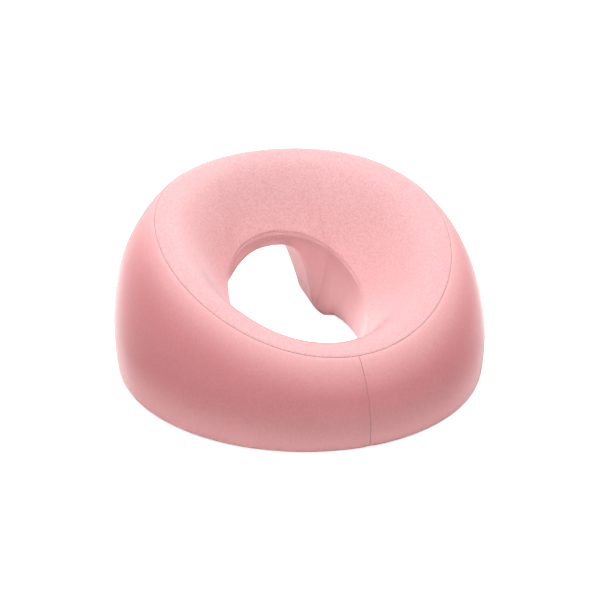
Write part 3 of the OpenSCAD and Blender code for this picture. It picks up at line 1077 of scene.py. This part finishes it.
@dataclass(frozen=True)
class Filling:
    """How a sewn skin fills out: as cloth under a light pressure from within, without its weight."""

    pressure: float = 3.0
    stiffness: float = 25.0
    bending: float = 20.0
    mass: float = 0.3
    quality: int = 6
    frames: int = 20
    reach: float = 1.0 * MM
    border: str = "sewn"

    def cloth(self, piece: bpy.types.Object) -> bpy.types.Modifier:
        """Makes cloth of a skin whose border is sewn fast.

        Args:
            piece: the skin, one face thick.

        Returns:
            The cloth modifier.
        """
        bm = bmesh.new()
        bm.from_mesh(piece.data)
        sewn = [vertex.index for vertex in bm.verts if vertex.is_boundary]
        bm.free()
        piece.vertex_groups.new(name=self.border).add(sewn, 1.0, "REPLACE")
        cloth = piece.modifiers.new("filling", "CLOTH")
        cloth.collision_settings.use_collision = False
        cloth.point_cache.frame_end = self.frames
        settings = cloth.settings
        settings.quality = self.quality
        settings.mass = self.mass
        settings.tension_stiffness = self.stiffness
        settings.compression_stiffness = self.stiffness
        settings.shear_stiffness = self.stiffness
        settings.bending_stiffness = self.bending
        settings.vertex_group_mass = self.border
        settings.use_pressure = True
        settings.uniform_pressure_force = self.pressure
        settings.effector_weights.gravity = 0.0
        return cloth

    def fill(self, piece: bpy.types.Object) -> None:
        """Moves a skin out to where it settles, within reach and not into the floor.

        Args:
            piece: the skin, one face thick.
        """
        mesh = piece.data
        rest = np.array([vertex.co for vertex in mesh.vertices])
        out = np.array([vertex.normal for vertex in mesh.vertices])
        cloth = self.cloth(piece)
        scene = bpy.context.scene
        for step in range(1, self.frames + 1):
            scene.frame_set(step)
        shape = piece.evaluated_get(bpy.context.evaluated_depsgraph_get()).data
        moved = np.array([vertex.co for vertex in shape.vertices]) - rest
        piece.modifiers.remove(cloth)
        piece.vertex_groups.clear()
        scene.frame_set(1)
        lift = (moved * out).sum(axis=1)
        log.info("%s: filled out by %.2f to %.2f mm", piece.name, lift.min() / MM, lift.max() / MM)
        filled = rest + out * np.clip(lift, -self.reach, self.reach)[:, None]
        filled[:, 2] = np.maximum(filled[:, 2], np.minimum(rest[:, 2], 0.0))
        mesh.vertices.foreach_set("co", filled.ravel())
        mesh.update()


@dataclass
class Cover:
    """The sewn cover: top panel, side band, linings and base panel."""

    form: RingForm
    finishes: Finishes
    filling: Filling = Filling()
    refine: int = 4
    cloth: float = 2.6 * MM
    seam_depth: float = 0.4 * MM
    seam_width: float = 0.9 * MM
    seam_gap: float = 0.22 * MM
    edge_round: float = 0.4 * MM
    edge_segments: int = 2
    edge_angle: float = math.radians(55)
    side_rows: int = 30
    top_rows: int = 34
    well_rows: int = 22
    base_rows: int = 10
    seam_shares: tuple[float, ...] = (0.004, 0.009, 0.016, 0.026)
    zip_radius: float = 105 * MM
    slot_width: float = 14 * MM
    slot_angle: float = math.radians(82)

    def shares(self, rows: int) -> np.ndarray:
        """Returns shares across a panel, closer together beside its seams."""
        near = np.array(self.seam_shares)
        return np.unique(np.concatenate([np.linspace(0.0, 1.0, rows + 1), near, 1.0 - near]))

    def places(self, first: float, last: float) -> np.ndarray:
        """Returns places round the ring, with both ends."""
        return np.linspace(first, last, round((last - first) * self.refine) + 1)

    def ring_grid(self, part: Part, rows: int, closed: bool = True) -> Grid:
        """Grid of a panel that goes all round.

        Args:
            part: the section's points on the panel.
            rows: rows across the panel.
            closed: whether its ends join.

        Returns:
            The grid on the form.
        """
        shares = self.shares(rows)
        places = self.places(0.0, float(self.form.stations))
        places = places[:-1] if closed else places
        return Grid(np.array([part(self.form.section(p), shares) for p in places]), closed)

    def sewn(self, grid: Grid, name: str, across: bool) -> bpy.types.Object:
        """Returns a grid as a skin that is drawn in along its seams, one face thick."""
        return grid.sewn(self.seam_depth, self.seam_width, self.seam_gap, across).skin(name)

    def padded(self, piece: bpy.types.Object) -> None:
        """Stores how far a skin faces up, for the knit's painted light, gives it its thickness, inwards, and
        rounds its edges.

        Args:
            piece: the skin.
        """
        store_painted_light_facing(piece)
        wall = piece.modifiers.new("wall", "SOLIDIFY")
        wall.thickness = self.cloth
        wall.offset = -1.0
        wall.use_even_offset = False
        rounding = piece.modifiers.new("rounded_edge", "BEVEL")
        rounding.width = self.edge_round
        rounding.segments = self.edge_segments
        rounding.limit_method = "ANGLE"
        rounding.angle_limit = self.edge_angle

    def panel(self, grid: Grid, name: str, node: str, material: bpy.types.Material,
              across: bool = False) -> None:
        """Sews a grid into a padded panel.

        Args:
            grid: the panel's face on the form.
            name: name of the piece.
            node: the node that it replaces.
            material: its finish.
            across: whether its ends are seams too.
        """
        piece = self.sewn(grid, name, across)
        self.filling.fill(piece)
        self.padded(piece)
        dress(piece, material, node)

    def base_grid(self) -> Grid:
        """Grid of the base on the floor, with rows along both sides of the zip's opening.

        Returns:
            The grid.
        """
        reach = float(self.form.front_steps)
        shares = self.shares(self.base_rows)
        columns = []
        for place in self.places(-reach, reach):
            inner, outer = self.form.section(place).base(np.array([0.0, 1.0]))
            low, high = (self.arc_share(inner, outer, self.zip_radius + side * self.slot_width / 2)
                         for side in (-1, 1))
            rows = np.concatenate([shares * low, high + shares * (1.0 - high)])
            columns.append(blend(inner, outer, rows[:, None]))
        return Grid(np.array(columns), False)

    @staticmethod
    def arc_share(inner: np.ndarray, outer: np.ndarray, radius: float) -> float:
        """Where a line across the base crosses an arc about the middle.

        Args:
            inner: the inner end of the line.
            outer: its outer end.
            radius: radius of the arc.

        Returns:
            The share of the way along the line.
        """
        way = (outer - inner)[:2]
        a = float(way @ way)
        b = 2.0 * float(inner[:2] @ way)
        c = float(inner[:2] @ inner[:2]) - radius ** 2
        return (-b + math.sqrt(b * b - 4 * a * c)) / (2 * a)

    def base(self) -> None:
        """Builds the base panel, open along the zip."""
        piece = self.sewn(self.base_grid(), "base_cloth", True)
        bm = bmesh.new()
        bm.from_mesh(piece.data)
        low, high = (self.zip_radius + side * (self.slot_width / 2 - self.edge_round) for side in (-1, 1))
        opening = []
        for face in bm.faces:
            middle = face.calc_center_median().xy
            turn = abs(math.atan2(middle.x, -middle.y))
            if low < middle.length < high and turn < self.slot_angle:
                opening.append(face)
        bmesh.ops.delete(bm, geom=opening, context="FACES")
        bm.to_mesh(piece.data)
        bm.free()
        self.padded(piece)
        dress(piece, self.finishes.cover, "base_panel")

    def build(self) -> None:
        """Builds every panel of the cover."""
        cover, lining = self.finishes.cover, self.finishes.lining
        top = self.ring_grid(Section.top, self.top_rows)
        self.panel(top, "top_cloth", "top_panel", self.finishes.top)
        side = self.ring_grid(Section.side, self.side_rows, closed=False)
        self.panel(side, "side_cloth", "side_band", cover, across=True)
        well = self.ring_grid(Section.well, self.well_rows)
        self.panel(well, "well_cloth", "well_lining", lining)
        shares = self.shares(self.base_rows)
        first = float(self.form.front_steps)
        over = self.places(first, first + self.form.arch_steps)
        arch = Grid(np.array([self.form.section(p).base(shares) for p in over]), False)
        self.panel(arch, "arch_cloth", "arch_lining", lining, across=True)
        self.base()


@dataclass
class FoamCore:
    """The foam ring inside the cover."""

    form: RingForm
    finishes: Finishes
    refine: int = 2
    depth: float = 3.4 * MM
    rows: tuple[int, int, int, int] = (16, 16, 10, 5)

    def build(self) -> None:
        """Builds the ring as one closed net, set inside the form."""
        points = []
        for i in range(self.form.stations * self.refine):
            section = self.form.section(i / self.refine)
            parts = (section.side, section.top, section.well, section.base)
            points.append(np.concatenate([p(np.arange(n) / n) for p, n in zip(parts, self.rows)]))
        grid = np.array(points)
        way = np.roll(grid, -1, axis=1) - np.roll(grid, 1, axis=1)
        inside = grid - unit(np.cross(unit(ahead(grid, True)), unit(way))) * self.depth
        bm = woven(inside, True, True)
        bmesh.ops.recalc_face_normals(bm, faces=bm.faces)
        piece = dress(finished(bm, "foam_ring"), self.finishes.foam, "foam_core")


@dataclass
class Stitching:
    """Rows of stitches in the seams of the cover, each one thread that dips between its stitches."""

    form: RingForm
    finishes: Finishes
    pitch: float = 3.2 * MM
    radius: float = 0.26 * MM
    depth: float = 0.35 * MM
    lip_depth: float = 0.2 * MM
    dip: float = 0.4 * MM
    dip_power: int = 8
    stitch_steps: int = 6
    sides: int = 6
    refine: int = 4
    edge_step: float = 0.02
    join_ends: Span = (0.01, 0.99)
    join_points: int = 40

    def seam(self, points: np.ndarray, normals: np.ndarray, closed: bool, name: str, node: str) -> None:
        """Lays stitches along a seam.

        Args:
            points: the seam's points on the form.
            normals: the way out of the cover at those points.
            closed: whether the seam joins itself.
            name: name of the piece.
            node: the node that it replaces.
        """
        if closed:
            points, normals = (np.vstack([rows, rows[:1]]) for rows in (points, normals))
        ways = np.concatenate([[0.0], np.cumsum(np.linalg.norm(np.diff(points, axis=0), axis=1))])
        count = max(round(ways[-1] / self.pitch), 1)
        turns = np.arange(count * self.stitch_steps + (0 if closed else 1)) / self.stitch_steps
        along = turns * ways[-1] / count
        path, out = (np.array([np.interp(along, ways, rows[:, axis]) for axis in range(3)]).T
                     for rows in (points, normals))
        out = unit(out)
        dips = self.dip * np.cos(math.pi * turns) ** self.dip_power
        lip = node == "lip_thread"
        path = path - out * ((self.lip_depth if lip else self.depth) + dips)[:, None]
        way = ahead(path, closed)
        across = unit(np.cross(out, way))
        bm = tube(path, across, unit(np.cross(way, across)), self.radius, self.sides, closed)
        material = self.finishes.lip_thread if lip else self.finishes.thread
        dress(finished(bm, name), material, node)

    def edge(self, part: Part, share: float, places: np.ndarray) -> tuple[np.ndarray, np.ndarray]:
        """Points of a seam and the way out there.

        Args:
            part: the section's points on the panel beside the seam.
            share: share of the panel where the seam runs, 0 or 1.
            places: places round the ring.

        Returns:
            The points and the normals.
        """
        step = self.edge_step if share == 0.0 else -self.edge_step
        shares = np.array([share, share + step])
        pairs = np.array([part(self.form.section(p), shares) for p in places])
        points = pairs[:, 0]
        way = (pairs[:, 1] - points) * math.copysign(1.0, step)
        return points, unit(np.cross(unit(np.gradient(points, axis=0)), unit(way)))

    def build(self) -> None:
        """Builds the stitches of every seam."""
        form = self.form
        places = np.arange(form.stations * self.refine) / self.refine
        rings = (
            (Section.top, 0.0, "rim_stitches", "rim_thread"),
            (Section.well, 0.0, "lip_stitches", "lip_thread"),
            (Section.side, 0.0, "base_outer_stitches", "base_outer_thread"),
            (Section.well, 1.0, "base_inner_stitches", "base_inner_thread"),
        )
        for part, share, name, node in rings:
            points, normals = self.edge(part, share, places)
            self.seam(points, normals, True, name, node)
        shares = np.linspace(*self.join_ends, self.join_points)
        front = form.section(0.0).side(shares)
        out = unit(np.cross(np.array([1.0, 0.0, 0.0]), np.gradient(front, axis=0)))
        self.seam(front, out, False, "front_join_stitches", "front_join_thread")
        for side, place in (("right", form.front_steps), ("left", form.stations - form.front_steps)):
            foot = form.section(float(place)).base(shares)
            down = np.tile(-UP, (len(foot), 1))
            self.seam(foot, down, False, f"arch_foot_stitches_{side}", f"arch_foot_thread_{side}")


@dataclass
class ZipFastener:
    """The curved zip in the base: tapes, coils, stops, slider and pull."""

    finishes: Finishes
    wire: float = 0.32 * MM
    wire_sides: int = 6
    pitch: float = 1.3 * MM
    turn_steps: int = 8

    def coil(self, node: str, name: str) -> None:
        """Winds one row of the coil in the space of its node.

        Args:
            node: the node that it replaces.
            name: name of the piece.
        """
        places = np.array([v.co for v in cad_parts[node].data.vertices])
        reach = np.linalg.norm(places[:, :2], axis=1)
        middle = (reach.min() + reach.max()) / 2
        wind = (reach.max() - reach.min()) / 2 - self.wire
        height = (places[:, 2].min() + places[:, 2].max()) / 2
        turns = np.arctan2(places[:, 0], -places[:, 1])
        first, last = turns.min(), turns.max()
        count = int((last - first) * middle / self.pitch)
        wound = 2 * math.pi * np.linspace(0.0, count, count * self.turn_steps + 1)
        margin = self.wire / middle
        way = np.linspace(first + margin, last - margin, len(wound))
        spoke = np.stack([np.sin(way), -np.cos(way), np.zeros_like(way)], axis=1)
        out = spoke * np.cos(wound)[:, None] + UP * np.sin(wound)[:, None]
        path = spoke * middle + UP * height + out * wind
        along = unit(np.gradient(path, axis=0))
        across = unit(np.cross(along, out))
        bm = tube(path, across, unit(np.cross(across, along)), self.wire, self.wire_sides, False)
        dress(finished(bm, name), self.finishes.coil, node)

    def build(self) -> None:
        """Builds the coils and finishes the solids of the zip."""
        self.coil("zip_coil_inner", "coil_inner")
        self.coil("zip_coil_outer", "coil_outer")
        for node in ("zip_tape_inner", "zip_tape_outer"):
            paint(node, self.finishes.tape)
        for node in ("zip_stop_closed", "zip_stop_open", "zip_slider", "zip_pull"):
            paint(node, self.finishes.metal)


def paint(node: str, material: bpy.types.Material) -> None:
    """Gives a solid of the frame its finish.

    Args:
        node: name of the solid's node.
        material: its finish.
    """
    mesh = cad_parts[node].data
    mesh.materials.clear()
    mesh.materials.append(material)
    log.info("%s: solid kept", node)


def looking(way: Vector) -> Euler:
    """Returns the turn of a lamp or a camera that looks along a way."""
    return way.to_track_quat("-Z", "Y").to_euler()


@dataclass(frozen=True)
class Lamp:
    """One soft round lamp of the studio."""

    name: str
    place: Place
    aim: Place
    size: float
    power: float

    def build(self) -> None:
        """Hangs the lamp, turned to its aim."""
        data = bpy.data.lights.new(self.name, "AREA")
        data.shape = "DISK"
        data.size = self.size
        data.energy = self.power
        lamp = placed(self.name, data)
        lamp.location = self.place
        lamp.rotation_euler = looking(Vector(self.aim) - Vector(self.place))


@dataclass
class Studio:
    """Pale floor, soft light and the camera."""

    target: Place = (0.0, 0.0, 55 * MM)
    elevation: float = math.radians(25.14)
    azimuth: float = math.radians(-20.30)
    distance: float = 1.6
    focus_pixels: float = 2024.46
    image_pixels: float = 600.0
    shift_pixels: Span = (0.73, 0.19)
    sensor: float = 36.0
    floor_size: float = 12.0
    floor_colour: Colour = (0.95, 0.95, 0.95)
    backdrop_lift: float = 0.85
    sky: float = 0.1
    lamps: tuple[Lamp, ...] = (
        Lamp("overhead", (-0.1, -0.02, 2.0), (0.0, 0.0, 0.06), 0.9, 44.0),
        Lamp("right_back", (1.4, 0.7, 0.45), (0.0, 0.0, 0.06), 0.7, 9.0),
        Lamp("left_low", (-1.3, -0.3, 0.15), (0.0, 0.0, 0.04), 0.6, 0.8),
        Lamp("low_back", (-0.4, 1.3, 0.15), (0.0, 0.0, 0.06), 0.4, 9.0),
    )

    @staticmethod
    def seen(nodes: Nodes, strength: float) -> Socket:
        """Strength that only straight, mirrored and passing views get.

        Args:
            nodes: nodes of the floor or the room.
            strength: the strength in those views.

        Returns:
            The strength.
        """
        path = nodes.add("ShaderNodeLightPath").outputs
        view = nodes.math("MAXIMUM", path["Is Camera Ray"], path["Is Glossy Ray"])
        view = nodes.math("MAXIMUM", view, path["Is Transmission Ray"])
        return nodes.math("MULTIPLY", view, strength)

    def floor(self) -> None:
        """Lays the floor, which shows white to the camera apart from the shadow on it."""
        bm = bmesh.new()
        bmesh.ops.create_grid(bm, x_segments=2, y_segments=2, size=self.floor_size / 2)
        floor = finished(bm, "studio_floor")
        material = bpy.data.materials.new("studio_floor")
        material.use_nodes = True
        nodes = Nodes(material.node_tree)
        nodes.tree.nodes.clear()
        diffuse = nodes.add("ShaderNodeBsdfDiffuse")
        diffuse.inputs["Color"].default_value = (*self.floor_colour, 1.0)
        glow = nodes.add("ShaderNodeEmission")
        nodes.join(self.seen(nodes, self.backdrop_lift), glow.inputs["Strength"])
        both = nodes.add("ShaderNodeAddShader")
        for shader, socket in zip((diffuse, glow), both.inputs):
            nodes.join(shader.outputs[0], socket)
        nodes.join(both.outputs[0], nodes.add("ShaderNodeOutputMaterial").inputs["Surface"])
        floor.data.materials.append(material)

    def world(self) -> None:
        """Lights the room evenly and shows it white."""
        world = bpy.data.worlds.new("studio_room")
        world.use_nodes = True
        nodes = Nodes(world.node_tree)
        background = nodes.tree.nodes["Background"].inputs
        background["Color"].default_value = (1.0, 1.0, 1.0, 1.0)
        nodes.join(nodes.math("ADD", self.seen(nodes, 1.0 - self.sky), self.sky), background["Strength"])
        bpy.context.scene.world = world

    def camera(self) -> None:
        """Sets the camera at the photograph's viewing angle."""
        data = bpy.data.cameras.new("studio_camera")
        data.sensor_width = self.sensor
        data.lens = self.focus_pixels / self.image_pixels * self.sensor
        data.shift_x, data.shift_y = (p / self.image_pixels for p in self.shift_pixels)
        level, rise = math.cos(self.elevation), math.sin(self.elevation)
        way = Vector((math.sin(self.azimuth) * level, -math.cos(self.azimuth) * level, rise))
        camera = placed("studio_camera", data)
        camera.location = Vector(self.target) + way * self.distance
        camera.rotation_euler = looking(-way)
        bpy.context.scene.camera = camera

    def build(self) -> None:
        """Sets up the whole studio."""
        self.camera()
        self.floor()
        self.world()
        for lamp in self.lamps:
            lamp.build()
        bpy.context.scene.view_settings.view_transform = "Standard"


def main() -> None:
    """Builds the cushion in its studio."""
    form = RingForm()
    finishes = Finishes.make()
    Studio().build()
    Cover(form, finishes).build()
    FoamCore(form, finishes).build()
    Stitching(form, finishes).build()
    ZipFastener(finishes).build()


if __name__ == "__main__":
    main()
